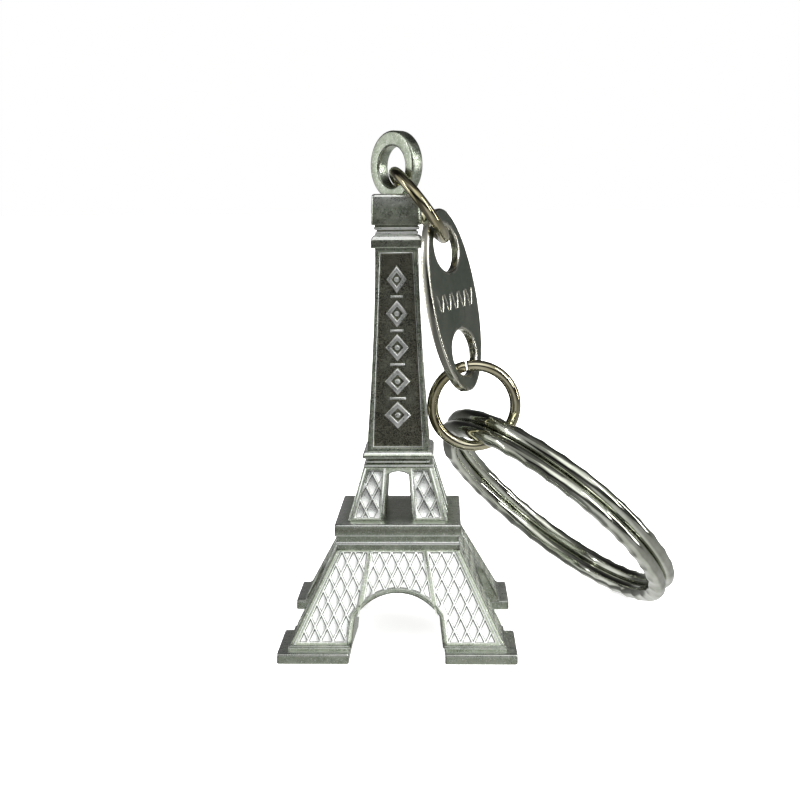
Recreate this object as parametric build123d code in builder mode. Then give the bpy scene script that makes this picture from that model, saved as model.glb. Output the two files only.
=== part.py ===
from build123d import *
import math
import os

# Keychain: a die-cast lattice tower with an eye on top, and a chain of four loose pieces that
# hangs from it: a jump ring, an oval tag, a second jump ring and a two-turn split ring.
# Millimetres. +Z up, origin on the floor at the centre of the tower's square footprint.
# The front of the tower faces -Y. The four sides of the tower are alike.

# ---- tower: feet and lower storey -------------------------------------------------------------
base_half = 11.4            # half the side of the square that the four feet stand on
pad_height = 1.0
pad_side = 6.85             # each foot is a square pad
plinth_half = 10.4          # the legs start a step inside the pads
leg_foot_z = 1.4
leg_foot_half = 10.25
leg_top_z = 9.58
leg_top_half = 6.04
neck_half = 5.85            # the neck between the legs and the first platform
neck_rib_z = 10.02
neck_rib_half = 6.04
platform_z = 10.92
platform_half = 6.18
platform_thick = 1.3
neck_rib_thick = 0.5
small_edge_radius = 0.12
panel_foot_border = 0.85    # plain border round the recessed panels
panel_top_border = 0.58
panel_foot_margin = 0.35
panel_top_margin = 0.14
panel_depth = 0.2
pilaster_foot = 3.55
pilaster_top = 2.45
pilaster_wide = 0.4

arch_rim = 0.45
arch_foot_half = 4.55       # the arch is a little wider at the floor than where it springs
arch_spring_half = 4.13
arch_spring_z = 3.75
arch_crown_z = 5.85
arch_draft = 2.5            # degrees that the opening narrows towards the inside

# ---- tower: upper storey ------------------------------------------------------------------------
upper_foot_half = 4.85
upper_top_half = 3.40
upper_top_z = 17.26
window_foot_half = 1.36
window_top_half = 1.05
window_foot_z = 12.3
window_spring_z = 16.6
window_crown_z = 16.88
upper_border = 0.42
cornice_half = 3.28
deck_z = 18.16
deck_half = 3.52
deck_thick = 0.69

# ---- tower: shaft ---------------------------------------------------------------------------------
shaft_top_z = 38.9
shaft_sections = ((deck_z + deck_thick, 3.09), (24.6, 2.68), (31.2, 2.30), (shaft_top_z, 2.10))
recess_depth = 0.22
recess_foot_z = 19.15
recess_top_z = 38.4
recess_foot_half = 2.58
recess_top_half = 1.72
ornament_count = 5
ornament_foot_z = 22.4      # height of the lowest ornament's centre
ornament_pitch = 3.32
ornament_high = 2.7
ornament_foot_wide = 2.3
ornament_shrink = 0.06      # each lozenge is narrower than the one below it
ornament_open = 0.62        # size of each lozenge's opening against the lozenge itself
ornament_boss_radius = 0.25
ornament_sink = 0.03        # the lozenges stop just below the corner posts

# ---- tower: head and eye --------------------------------------------------------------------------
collar_half = 2.49
collar_foot_z = 38.72       # the collar hides the top of the shaft
collar_thick = 1.27
throat_half = 2.0
throat_thick = 0.95
cap_half = 2.45
cap_height = 3.0
cap_taper = 2.5
cap_edge_radius = 0.4
eye_centre_z = 46.74
eye_half_wide = 3.1
eye_half_high = 3.28
eye_hole_half_wide = 1.9
eye_hole_half_high = 2.02
eye_hole_drop = 0.2         # the hole sits a little below the middle of the eye
eye_thick = 1.4
eye_edge_radius = 0.3

# ---- chain ------------------------------------------------------------------------------------------
ring_wire = 1.1
ring_gap = 0.12             # the butted ends of a jump ring do not quite meet
upper_ring_radius = 3.98    # to the centre of the wire
upper_ring_centre = Vector(2.213, -0.641, 42.809)
upper_ring_normal = Vector(0.793, 0.111, 0.599)
upper_ring_gap = Vector(0.19, 0.98, 0)
lower_ring_radius = 4.15
lower_ring_centre = Vector(7.563, -0.338, 22.920)
lower_ring_normal = Vector(0.030, -0.996, -0.083)
lower_ring_gap = Vector(-0.2, 0, 1)

tag_centre = Vector(5.386, -0.838, 33.493)
tag_normal = Vector(0.858, -0.488, 0.157)
tag_across = Vector(0.484, 0.872, 0.066)
tag_long = 18.2
tag_wide = 9.06
tag_thick = 0.9
tag_hole_radius = 2.32
tag_hole_from_centre = 5.2
tag_edge_radius = 0.18

split_centre = Vector(16.030, 5.300, 11.170)
split_normal = Vector(0.6141, 0.3560, 0.7048)
split_radius = 13.6         # to the centre of the wire
split_wire_wide = 1.86      # the wire is wider across the ring than along its axis
split_wire_thick = 1.5
split_wire_round = 0.74
split_pitch = 1.54          # the two turns lie against each other
split_step_dir = Vector(-0.781, 0.400, 0.479)
split_step_half = 12        # degrees on each side of the step's middle
split_point_step = 6         # degrees between the points of the wire's centre line


def side_plane(turn, distance, z=0, lean=0):
    """Plane that faces out of one side of the tower, leaning back. Side 0 is the front, -Y."""
    angle = math.radians(90 * turn)
    outward = Vector(math.sin(angle), -math.cos(angle), 0)
    return Plane(
        origin=outward * distance + Vector(0, 0, z),
        x_dir=(math.cos(angle), math.sin(angle), 0),
        z_dir=outward * math.cos(math.radians(lean)) + Vector(0, 0, math.sin(math.radians(lean))),
    )


def arch_outline(foot_half, spring_half, foot_z, spring_z, crown_z):
    """Opening with straight sides and a curved head."""
    with BuildSketch() as outline:
        with BuildLine():
            Polyline((-spring_half, spring_z), (-foot_half, foot_z), (foot_half, foot_z), (spring_half, spring_z))
            ThreePointArc((spring_half, spring_z), (0, crown_z), (-spring_half, spring_z))
        make_face()
    return outline.sketch


def polygon(*corners):
    """Flat outline with straight sides."""
    with BuildSketch() as outline:
        with BuildLine():
            Polyline(*corners, close=True)
        make_face()
    return outline.sketch


def trapezoid(foot_half, foot_z, top_half, top_z):
    """Symmetric panel, wider at its foot."""
    return polygon((-foot_half, foot_z), (foot_half, foot_z), (top_half, top_z), (-top_half, top_z))


# ---- tower casting: lower storey --------------------------------------------------------------------
leg_lean = math.degrees(math.atan((leg_foot_half - leg_top_half) / (leg_top_z - leg_foot_z)))
slope_scale = 1 / math.cos(math.radians(leg_lean))
pad_spacing = 2 * base_half - pad_side
slope_top = (leg_top_z - leg_foot_z) * slope_scale
slope_spring = (arch_spring_z - leg_foot_z) * slope_scale

leg_panels = trapezoid(
    leg_foot_half - panel_foot_border,
    panel_foot_margin,
    leg_top_half - panel_top_border,
    slope_top - panel_top_margin,
)
arch_border = arch_outline(
    arch_foot_half + arch_rim,
    arch_spring_half + arch_rim,
    -leg_foot_z,
    slope_spring,
    (arch_crown_z + arch_rim - leg_foot_z) * slope_scale,
)
pilaster = polygon(
    (pilaster_foot, slope_spring),
    (pilaster_foot + pilaster_wide, slope_spring),
    (pilaster_top + pilaster_wide, slope_top),
    (pilaster_top, slope_top),
)

with BuildPart() as lower_storey:
    with BuildSketch(Plane.XY.offset(pad_height)):
        Rectangle(2 * plinth_half, 2 * plinth_half)
    extrude(amount=leg_foot_z - pad_height)
    with BuildSketch(Plane.XY.offset(leg_foot_z)):
        Rectangle(2 * leg_foot_half, 2 * leg_foot_half)
    extrude(amount=leg_top_z - leg_foot_z, taper=leg_lean)
    with BuildSketch(Plane.XY.offset(leg_top_z)):
        Rectangle(2 * neck_half, 2 * neck_half)
    extrude(amount=platform_z - leg_top_z)
    # Recessed panels on each sloping side: two leg panels and the spandrel between them.
    for turn in range(4):
        with BuildSketch(side_plane(turn, leg_foot_half, leg_foot_z, leg_lean)):
            add(leg_panels)
            add(arch_border, mode=Mode.SUBTRACT)
            add(pilaster, mode=Mode.SUBTRACT)
            add(mirror(pilaster, about=Plane.YZ, mode=Mode.PRIVATE), mode=Mode.SUBTRACT)
        extrude(amount=-panel_depth, mode=Mode.SUBTRACT)
    # Four arches meet under the platform and leave four legs.
    for turn in range(4):
        with BuildSketch(side_plane(turn, -base_half)):
            add(arch_outline(arch_foot_half, arch_spring_half, 0, arch_spring_z, arch_crown_z))
        extrude(amount=base_half, taper=arch_draft, mode=Mode.SUBTRACT)
    with BuildSketch(Plane.XY):
        with GridLocations(pad_spacing, pad_spacing, 2, 2):
            Rectangle(pad_side, pad_side)
    extrude(amount=pad_height)
    with BuildSketch(Plane.XY.offset(neck_rib_z)):
        Rectangle(2 * neck_rib_half, 2 * neck_rib_half)
    extrude(amount=neck_rib_thick)
    with BuildSketch(Plane.XY.offset(platform_z)):
        Rectangle(2 * platform_half, 2 * platform_half)
    extrude(amount=platform_thick)
    platform_edges = lower_storey.edges().group_by(Axis.Z)[-1]
    fillet(platform_edges, radius=small_edge_radius)

# ---- tower casting: upper storey ----------------------------------------------------------------------
upper_foot_z = platform_z + platform_thick
upper_height = upper_top_z - upper_foot_z
upper_lean = math.degrees(math.atan((upper_foot_half - upper_top_half) / upper_height))
upper_panel = trapezoid(
    upper_foot_half - upper_border,
    upper_border,
    upper_top_half - upper_border,
    upper_height - upper_border,
)
window_border = trapezoid(window_foot_half + upper_border, 0, window_top_half + upper_border, upper_height)
window = arch_outline(window_foot_half, window_top_half, window_foot_z, window_spring_z, window_crown_z)

with BuildPart() as upper_storey:
    with BuildSketch(Plane.XY.offset(upper_foot_z)):
        Rectangle(2 * upper_foot_half, 2 * upper_foot_half)
    extrude(amount=upper_height, taper=upper_lean)
    for turn in range(4):
        with BuildSketch(side_plane(turn, upper_foot_half, upper_foot_z, upper_lean)):
            add(upper_panel)
            add(window_border, mode=Mode.SUBTRACT)
        extrude(amount=-panel_depth, mode=Mode.SUBTRACT)
    for turn in range(2):
        with BuildSketch(side_plane(turn, upper_foot_half)):
            add(window)
        extrude(amount=-2 * upper_foot_half, mode=Mode.SUBTRACT)
    for z, half, thick in ((upper_top_z, cornice_half, deck_z - upper_top_z), (deck_z, deck_half, deck_thick)):
        with BuildSketch(Plane.XY.offset(z)):
            Rectangle(2 * half, 2 * half)
        extrude(amount=thick)

# ---- tower casting: shaft -------------------------------------------------------------------------------
# The shaft's sides curve inwards. Its corner posts stand proud of a recessed core, and a column of
# open lozenges fills each recess.
with BuildPart() as shaft_posts:
    for z, half in shaft_sections:
        with BuildSketch(Plane.XY.offset(z)):
            Rectangle(2 * half, 2 * half)
    loft()
    for turn in range(2):
        with BuildSketch(side_plane(turn, base_half)):
            add(trapezoid(recess_foot_half, recess_foot_z, recess_top_half, recess_top_z))
        extrude(amount=-2 * base_half, mode=Mode.SUBTRACT)

with BuildPart() as shaft_core:
    for z, half in shaft_sections:
        with BuildSketch(Plane.XY.offset(z)):
            Rectangle(2 * (half - recess_depth), 2 * (half - recess_depth))
    loft()


def lozenge(half_wide, half_high):
    """Upright rhombus."""
    return polygon((half_wide, 0), (0, half_high), (-half_wide, 0), (0, -half_high))


def ornament_column(turn):
    """Lozenges cut from a solid a little smaller than the shaft, on two opposite sides of it."""
    with BuildPart() as column:
        for z, half in shaft_sections:
            with BuildSketch(Plane.XY.offset(z)):
                Rectangle(2 * (half - ornament_sink), 2 * (half - ornament_sink))
        loft()
        with BuildSketch(side_plane(turn, base_half)):
            for row in range(ornament_count):
                half_wide = ornament_foot_wide / 2 * (1 - ornament_shrink * row)
                half_high = ornament_high / 2
                with Locations((0, ornament_foot_z + ornament_pitch * row)):
                    add(lozenge(half_wide, half_high))
                    add(lozenge(half_wide * ornament_open, half_high * ornament_open), mode=Mode.SUBTRACT)
                    Circle(ornament_boss_radius)
        extrude(amount=-2 * base_half, mode=Mode.INTERSECT)
    return column.part


# ---- tower casting: head and eye --------------------------------------------------------------------------
throat_z = collar_foot_z + collar_thick
cap_z = throat_z + throat_thick

with BuildPart() as head:
    with BuildSketch(Plane.XY.offset(collar_foot_z)):
        Rectangle(2 * collar_half, 2 * collar_half)
    extrude(amount=collar_thick)
    with BuildSketch(Plane.XY.offset(throat_z)):
        Rectangle(2 * throat_half, 2 * throat_half)
    extrude(amount=throat_thick)
    with BuildSketch(Plane.XY.offset(cap_z)):
        Rectangle(2 * cap_half, 2 * cap_half)
    extrude(amount=cap_height, taper=cap_taper)
    cap_edges = head.edges().group_by(Axis.Z)[-1]
    fillet(cap_edges, radius=cap_edge_radius)

# The eye stands across the cap's diagonal, from the front right corner to the rear left one.
diagonal = Plane(origin=(0, 0, eye_centre_z), x_dir=(1, -1, 0), z_dir=(-1, -1, 0))

with BuildPart() as eye:
    with BuildSketch(diagonal):
        Ellipse(eye_half_wide, eye_half_high)
        with Locations((0, -eye_hole_drop)):
            Ellipse(eye_hole_half_wide, eye_hole_half_high, mode=Mode.SUBTRACT)
    extrude(amount=eye_thick / 2, both=True)
    fillet(eye.edges(), radius=eye_edge_radius)

with BuildPart() as tower_casting:
    add(lower_storey.part)
    add(upper_storey.part)
    add(shaft_posts.part)
    add(shaft_core.part)
    for turn in range(2):
        add(ornament_column(turn))
    add(head.part)
    add(eye.part)

tower_casting.part.label = "tower_casting"


# ---- jump rings -------------------------------------------------------------------------------------------
def jump_ring(radius, centre, normal, gap_dir):
    """Round wire bent into a ring whose two ends nearly meet on the gap's side."""
    ring_plane = Plane(origin=centre, x_dir=gap_dir, z_dir=normal)
    gap_angle = math.degrees(ring_gap / radius)
    with BuildPart() as ring:
        with BuildSketch(Plane(origin=centre, x_dir=ring_plane.x_dir, z_dir=-ring_plane.y_dir)):
            with Locations((radius, 0)):
                Circle(ring_wire / 2)
        revolve(axis=Axis(centre, normal), revolution_arc=360 - gap_angle)
    return ring


upper_jump_ring = jump_ring(upper_ring_radius, upper_ring_centre, upper_ring_normal, upper_ring_gap)
upper_jump_ring.part.label = "upper_jump_ring"
lower_jump_ring = jump_ring(lower_ring_radius, lower_ring_centre, lower_ring_normal, lower_ring_gap)
lower_jump_ring.part.label = "lower_jump_ring"

# ---- tag ----------------------------------------------------------------------------------------------------
with BuildPart() as tag:
    with BuildSketch(Plane(origin=tag_centre, x_dir=tag_across, z_dir=tag_normal)):
        Ellipse(tag_wide / 2, tag_long / 2)
        with Locations((0, tag_hole_from_centre), (0, -tag_hole_from_centre)):
            Circle(tag_hole_radius, mode=Mode.SUBTRACT)
    extrude(amount=tag_thick / 2, both=True)
    fillet(tag.edges(), radius=tag_edge_radius)

tag.part.label = "tag"

# ---- split ring -----------------------------------------------------------------------------------------------
# Each turn is flat. The wire steps from one turn to the other within a short arc, and its two ends
# lie on either side of that step.
split_plane = Plane(origin=split_centre, x_dir=split_step_dir, z_dir=split_normal)
wire_start = split_step_half
wire_end = 720 - split_step_half
point_count = round((wire_end - wire_start) / split_point_step) + 1


def split_point(index):
    """Point on the wire's centre line, in the ring's own frame."""
    angle = wire_start + (wire_end - wire_start) * index / (point_count - 1)
    across_step = (angle - (360 - split_step_half)) / (2 * split_step_half)
    across_step = min(max(across_step, 0), 1)
    rise = across_step * across_step * (3 - 2 * across_step)
    turned = math.radians(angle)
    return (split_radius * math.cos(turned), split_radius * math.sin(turned), split_pitch * (rise - 0.5))


with BuildPart() as split_ring:
    with BuildLine(split_plane) as split_path:
        Spline([split_point(index) for index in range(point_count)])
    wire_end_point = split_path.line @ 0
    with BuildSketch(
        Plane(origin=wire_end_point, x_dir=wire_end_point - split_centre, z_dir=split_path.line % 0)
    ):
        RectangleRounded(split_wire_wide, split_wire_thick, split_wire_round)
    sweep(path=split_path.line, is_frenet=True)

split_ring.part.label = "split_ring"

# ---- files ------------------------------------------------------------------------------------------------------
os.makedirs("parts", exist_ok=True)
export_step(tower_casting.part, "parts/tower_casting.step")
export_step(upper_jump_ring.part, "parts/upper_jump_ring.step")
export_step(tag.part, "parts/tag.step")
export_step(lower_jump_ring.part, "parts/lower_jump_ring.step")
export_step(split_ring.part, "parts/split_ring.step")
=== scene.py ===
import bpy
import bmesh
import math
from mathutils import Matrix, Vector
from mathutils.geometry import delaunay_2d_cdt


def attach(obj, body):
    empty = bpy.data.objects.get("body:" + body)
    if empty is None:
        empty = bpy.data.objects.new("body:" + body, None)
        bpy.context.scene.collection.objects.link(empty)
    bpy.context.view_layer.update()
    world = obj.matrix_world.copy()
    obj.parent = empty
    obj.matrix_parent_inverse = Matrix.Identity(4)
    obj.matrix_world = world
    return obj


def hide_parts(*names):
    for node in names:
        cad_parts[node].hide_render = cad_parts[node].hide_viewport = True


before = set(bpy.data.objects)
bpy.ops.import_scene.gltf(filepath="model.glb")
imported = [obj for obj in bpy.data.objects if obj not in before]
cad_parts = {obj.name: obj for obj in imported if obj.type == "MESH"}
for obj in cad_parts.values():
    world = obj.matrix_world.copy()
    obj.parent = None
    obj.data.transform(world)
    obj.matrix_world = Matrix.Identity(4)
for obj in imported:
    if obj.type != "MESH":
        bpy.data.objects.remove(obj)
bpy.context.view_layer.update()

# A souvenir keychain: a plated lattice tower with an eye, two jump rings, an oval tag and a split
# ring. Shapes are written in millimetres and become metres when a mesh is made.
MM = 0.001


# ---- meshes ---------------------------------------------------------------------------------------
class Shell:
    """Points in millimetres, each with a value that paints light and shade on the casting and marks polish on
    the tag, and the faces between them.
    """

    def __init__(self):
        self.points = []
        self.painted_light_and_polish_values = []
        self.faces = []

    def add(self, points, faces, painted_light_and_polish_values):
        base = len(self.points)
        self.points += [tuple(p) for p in points]
        self.painted_light_and_polish_values += painted_light_and_polish_values
        self.faces += [tuple(base + i for i in face) for face in faces]

    def strip(self, rows, closed=False, tone=0.0):
        """Quads between rows of equal length. The value for painted light and polish is one number, or one
        number per row.
        """
        count = len(rows[0])
        points = [p for row in rows for p in row]
        faces = []
        for r in range(len(rows) - 1):
            for i in range(count if closed else count - 1):
                j = (i + 1) % count
                faces.append((r * count + i, r * count + j, (r + 1) * count + j, (r + 1) * count + i))
        painted_light_and_polish_values = tone if isinstance(tone, list) else [tone] * len(rows)
        self.add(points, faces, [t for t in painted_light_and_polish_values for _ in range(count)])

    def cap(self, row, flip=False, tone=0.0):
        face = tuple(range(len(row)))
        self.add(row, [face[::-1] if flip else face], [tone] * len(row))

    def turned(self, other, turns=4):
        """Adds copies of another shell turned about the vertical axis in quarter turns."""
        for k in range(turns):
            c, s = round(math.cos(k * math.pi / 2)), round(math.sin(k * math.pi / 2))
            points = [(c * x - s * y, s * x + c * y, z) for x, y, z in other.points]
            self.add(points, other.faces, list(other.painted_light_and_polish_values))


def make_object(name, shell, merge=0.0004):
    mesh = bpy.data.meshes.new(name)
    mesh.from_pydata([(x * MM, y * MM, z * MM) for x, y, z in shell.points], [], shell.faces)
    # Stored per point: painted highlights and painted shade on the casting, polish on the tag.
    tone = mesh.attributes.new("tone", "FLOAT", "POINT")
    tone.data.foreach_set("value", shell.painted_light_and_polish_values)
    bm = bmesh.new()
    bm.from_mesh(mesh)
    bmesh.ops.remove_doubles(bm, verts=bm.verts, dist=merge * MM)
    open_edges = [e for e in bm.edges if e.is_boundary]
    if open_edges:
        bmesh.ops.holes_fill(bm, edges=open_edges, sides=0)
    bmesh.ops.dissolve_degenerate(bm, edges=bm.edges, dist=1e-5 * MM)
    bmesh.ops.recalc_face_normals(bm, faces=bm.faces)
    for face in bm.faces:
        face.smooth = True
    bm.to_mesh(mesh)
    bm.free()
    mesh.set_sharp_from_angle(angle=math.radians(38))
    obj = bpy.data.objects.new(name, mesh)
    bpy.context.scene.collection.objects.link(obj)
    weighted = obj.modifiers.new("even shading", "WEIGHTED_NORMAL")
    weighted.keep_sharp = True
    weighted.weight = 80
    return obj


def bezier(a, corner, b, t):
    return tuple((1 - t) ** 2 * p + 2 * t * (1 - t) * q + t * t * r for p, q, r in zip(a, corner, b))


def soften(profile, radius):
    """Rounds the corners of an open profile."""
    out = [profile[0]]
    for a, b, c in zip(profile, profile[1:], profile[2:]):
        before, after = math.dist(a[:2], b[:2]), math.dist(b[:2], c[:2])
        r = min(radius, before * 0.48, after * 0.48)
        start = tuple(q + (p - q) * r / before for p, q in zip(a, b))
        end = tuple(q + (p - q) * r / after for p, q in zip(c, b))
        out += [bezier(start, b, end, t) for t in (0, 0.25, 0.5, 0.75, 1)]
    out.append(profile[-1])
    return out


def rounded_rectangle(wide, high, corner, pieces=5):
    """Points (a, b) round a rectangle about the origin, with each corner's arc in so many pieces."""
    points = []
    for quarter, (sx, sy) in enumerate(((1, 1), (-1, 1), (-1, -1), (1, -1))):
        for k in range(pieces + 1):
            angle = math.radians(90 * (quarter + k / pieces))
            points.append((
                sx * (wide / 2 - corner) + corner * math.cos(angle),
                sy * (high / 2 - corner) + corner * math.sin(angle),
            ))
    return points


def block(shell, profile, corner=0.14, centre=(0, 0)):
    """Closed solid with a rounded square section that follows profile, (half width, z, painted light): a high
    value paints a highlight on that ring and a low one paints shade.
    """
    rows = []
    for half, z, _ in profile:
        square = rounded_rectangle(2 * half, 2 * half, corner)
        rows.append([(centre[0] + a, centre[1] + b, z) for a, b in square])
    shell.strip(rows, closed=True, tone=[tone for _, _, tone in profile])
    shell.cap(rows[0], flip=True, tone=profile[0][2])
    shell.cap(rows[-1], tone=profile[-1][2])


# ---- relief faces ---------------------------------------------------------------------------------
def relief(shell, outline, loops, place, holes=(), chains=()):
    """Triangulated face. Each loop or chain is (points, height, value for painted light and polish); outline
    has height 0.
    """
    coords, edges, heights, painted_light_and_polish_values = [], [], [], []
    for points, height, tone, closed in (
        [(outline, 0.0, 0.0, True)]
        + [(p, h, t, True) for p, h, t in loops]
        + [(p, h, t, False) for p, h, t in chains]
    ):
        base, count = len(coords), len(points)
        coords += [Vector(p) for p in points]
        edges += [(base + i, base + (i + 1) % count) for i in range(count if closed else count - 1)]
        heights += [height] * count
        painted_light_and_polish_values += [tone] * count
    verts, _, faces, origin, _, _ = delaunay_2d_cdt(coords, edges, [], 1, 1e-6)
    kept = []
    for face in faces:
        centre = sum((verts[i] for i in face), Vector((0, 0))) / len(face)
        if not any((centre - Vector(c)).length < r for c, r in holes):
            kept.append(face)
    height = [heights[o[0]] if o else 0.0 for o in origin]
    tone = [painted_light_and_polish_values[o[0]] if o else 0.0 for o in origin]
    shell.add([place(v.x, v.y, h) for v, h in zip(verts, height)], kept, tone)


def clip(polygon, a, b, c):
    """The part of a convex polygon where a*u + b*v <= c."""
    out = []
    for i, p in enumerate(polygon):
        q = polygon[(i + 1) % len(polygon)]
        dp, dq = a * p[0] + b * p[1] - c, a * q[0] + b * q[1] - c
        if dp <= 0:
            out.append(p)
        if (dp < 0 < dq) or (dq < 0 < dp):
            t = dp / (dp - dq)
            out.append((p[0] + (q[0] - p[0]) * t, p[1] + (q[1] - p[1]) * t))
    return out


def area(polygon):
    return 0.5 * abs(sum(
        p[0] * q[1] - q[0] * p[1] for p, q in zip(polygon, polygon[1:] + polygon[:1])
    ))


def crossing(p, q, r, s):
    """Where segment pq meets segment rs, as the fractions along each."""
    d = (q[0] - p[0]) * (s[1] - r[1]) - (q[1] - p[1]) * (s[0] - r[0])
    if abs(d) < 1e-12:
        return None
    t = ((r[0] - p[0]) * (s[1] - r[1]) - (r[1] - p[1]) * (s[0] - r[0])) / d
    w = ((r[0] - p[0]) * (q[1] - p[1]) - (r[1] - p[1]) * (q[0] - p[0])) / d
    return (t, w) if 0 < t < 1 and 0 <= w < 1 else None


def outside(point, arch):
    """Whether a point lies outside the opening under an arch line that runs right to left."""
    u, v = point
    for (u0, v0), (u1, v1) in zip(arch, arch[1:]):
        if u1 <= u < u0:
            return v > v0 + (v1 - v0) * (u - u0) / (u1 - u0)
    return True


def cut(polygon, arch):
    """Parts of a convex polygon that lie outside the opening under an arch line."""
    if arch is None:
        return [polygon]
    walk = []
    for i, p in enumerate(polygon):
        q = polygon[(i + 1) % len(polygon)]
        walk.append((p, outside(p, arch), None))
        found = []
        for k in range(len(arch) - 1):
            hit = crossing(p, q, arch[k], arch[k + 1])
            if hit:
                found.append((hit[0], k + hit[1]))
        for t, place in sorted(found):
            walk.append(((p[0] + (q[0] - p[0]) * t, p[1] + (q[1] - p[1]) * t), None, place))
    marks = [i for i, w in enumerate(walk) if w[2] is not None]
    if not marks:
        return [polygon] if walk[0][1] else []
    pieces = []
    for i in marks:
        following = walk[(i + 1) % len(walk)]
        if following[2] is not None or not following[1]:
            continue
        chain = [walk[i][0]]
        j = (i + 1) % len(walk)
        while walk[j][2] is None:
            chain.append(walk[j][0])
            j = (j + 1) % len(walk)
        chain.append(walk[j][0])
        first, last = walk[j][2], walk[i][2]
        between = [k for k in range(len(arch)) if min(first, last) < k < max(first, last)]
        if first > last:
            between = between[::-1]
        pieces.append(chain + [arch[k] for k in between])
    return pieces


def cell(panel, arch, offset):
    """A panel made smaller all round by offset: half planes (a, b, c), and an arch line function."""
    polygon = [(-30, -1), (30, -1), (30, 60), (-30, 60)]
    for a, b, c in panel:
        polygon = clip(polygon, a, b, c - offset)
    return cut(polygon, arch(offset) if arch else None) if len(polygon) > 2 else []


def line(p, q, side):
    """Half plane on one side of the line through p and q: side 1 keeps what is to its left."""
    a, b = (q[1] - p[1]) * side, -(q[0] - p[0]) * side
    length = math.hypot(a, b)
    a, b = a / length, b / length
    return (a, b, a * p[0] + b * p[1])


RIDGE_HALF = 0.05       # half width of a ridge's flat top
RIDGE_DROP = 0.02       # the ridges stay this far below the face
PANEL_STEP = 0.05       # width of the sloping step round a panel
PANEL_MARGIN = 0.02     # between a panel's edge and its pockets
SMALLEST_FLOOR = 0.008  # square millimetres; smaller pockets are left out
# Sides of a pocket between the ridges: (inset, height, painted light), from its rim to its floor. The rim and
# the floor get a painted highlight and the walls get painted shade.
POCKET = (
    (0.0, 0.0, 1.0), (0.02, -0.012, 0.5), (0.035, -0.06, -1.0), (0.065, -0.15, -0.9), (0.085, -0.182, 0.8),
    (0.11, -0.19, 1.0),
)


def lattice(panel, arch, wide, high, shift):
    """Loops of one recessed panel crossed by slanting ridges, and the step round its edge."""
    loops = []
    for piece in cell(panel, arch, -PANEL_STEP):
        loops.append((piece, 0.0, 0.0))
    # The panel's edge gets a painted highlight.
    for piece in cell(panel, arch, 0.0):
        loops.append((piece, -RIDGE_DROP, 1.0))
    norm = math.hypot(2 / wide, 2 / high)
    columns, rows = range(-22, 23), range(-6, 16)
    for i in columns:
        for j in rows:
            if (i + j) % 2:
                continue
            u0, v0 = shift[0] + i * wide / 2, shift[1] + j * high / 2
            rhombus = []
            for su in (1, -1):
                for sv in (1, -1):
                    a, b = su * 2 / wide / norm, sv * 2 / high / norm
                    rhombus.append((a, b, 1 / norm + a * u0 + b * v0))
            nested = []
            for inset, height, tone in POCKET:
                sides = [(a, b, c - PANEL_MARGIN) for a, b, c in panel]
                sides += [(a, b, c - RIDGE_HALF) for a, b, c in rhombus]
                edge = (lambda o: arch(o + PANEL_MARGIN)) if arch else None
                nested.append((cell(sides, edge, inset), height, tone))
            if any(len(p) != len(nested[0][0]) for p, _, _ in nested) or not nested[0][0]:
                continue
            for k in range(len(nested[0][0])):
                if area(nested[-1][0][k]) < SMALLEST_FLOOR:
                    continue
                for pieces, height, tone in nested:
                    loops.append((pieces[k], height - RIDGE_DROP, tone))
    return loops


def tidy(points, gap=0.004):
    """Drops points of a loop that nearly coincide with the one before."""
    out = []
    for p in points:
        if not out or math.dist(p, out[-1]) > gap:
            out.append(p)
    if len(out) > 2 and math.dist(out[0], out[-1]) <= gap:
        out.pop()
    return out


# ---- leaning storeys ------------------------------------------------------------------------------
HIP = 0.13              # the faces stop this far from the corners, which are rounded
RIB = ((0.1, 0.0, 0.0), (0.06, 0.045, 0.9))  # (half width, height, painted light); the rib's top gets a painted highlight
# A faint painted highlight on the bead round an opening.
BEAD_PAINTED_HIGHLIGHT = 0.25
BEAD_GAP = 0.03         # between the bead round an opening and the panels


def half_corner(half, z, steps=(0, 0.25, 0.5)):
    """Points round half of a rounded corner, from a face's edge to the diagonal."""
    return [(half - HIP * (1 - t) ** 2, -(half - HIP * t * t), z) for t in steps]


def mirrored(points, side):
    return [(side * x, y, z) for x, y, z in points]


def corner_row(half, z, us):
    """A level line across a face and round half of each rounded corner."""
    ends = half_corner(half, z, (0.25, 0.5))
    return mirrored(ends, -1)[::-1] + [(u, -half, z) for u in us] + ends


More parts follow.
